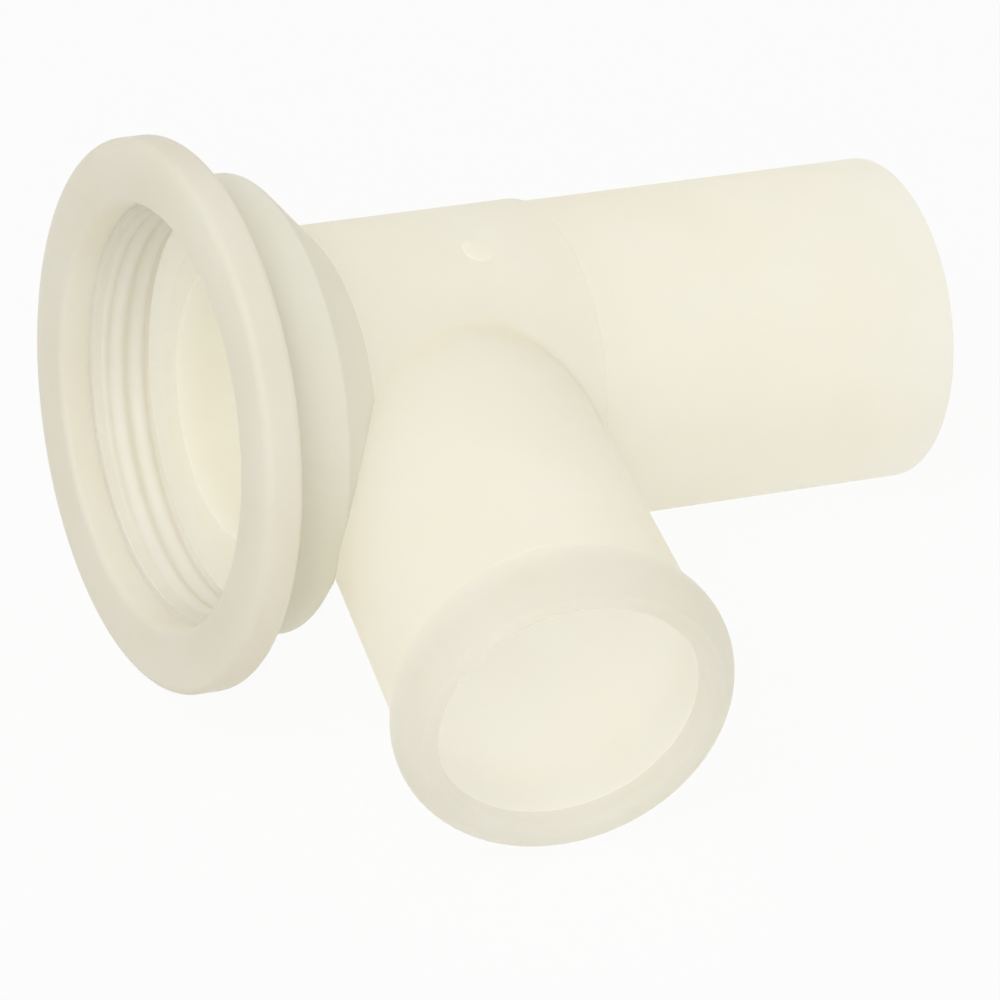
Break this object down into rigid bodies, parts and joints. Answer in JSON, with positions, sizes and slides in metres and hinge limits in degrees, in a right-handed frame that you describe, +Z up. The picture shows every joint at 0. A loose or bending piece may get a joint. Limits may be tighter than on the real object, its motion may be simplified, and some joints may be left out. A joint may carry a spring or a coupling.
{
  "type": "flanged pipe tee",
  "caption": "Ivory plastic tee fitting with a round flange and ridged open mouth, a coned collar, a plain run tube and a leaning side branch with a beaded lip.",
  "frame": {"origin": "middle of the part's box, at the bench that it lies on", "axes": "+Z up from the bench, +X along the main tube from the flange to the run end as seen from above, the branch towards -Y"},
  "size_m": [0.101, 0.0958, 0.0637],
  "materials": {
    "flange": "satin moulded",
    "bush": "satin moulded",
    "collar": "satin moulded",
    "body": "satin moulded",
    "run": "satin moulded",
    "branch": "satin moulded",
    "lip": "satin moulded"
  },
  "bodies": {
    "root": {"mouth_flange": "flange", "thread_bush": "bush", "collar_ring": "collar", "tee_body": "body", "run_spigot": "run", "branch_spout": "branch", "branch_lip": "lip"}
  },
  "joints": []
}
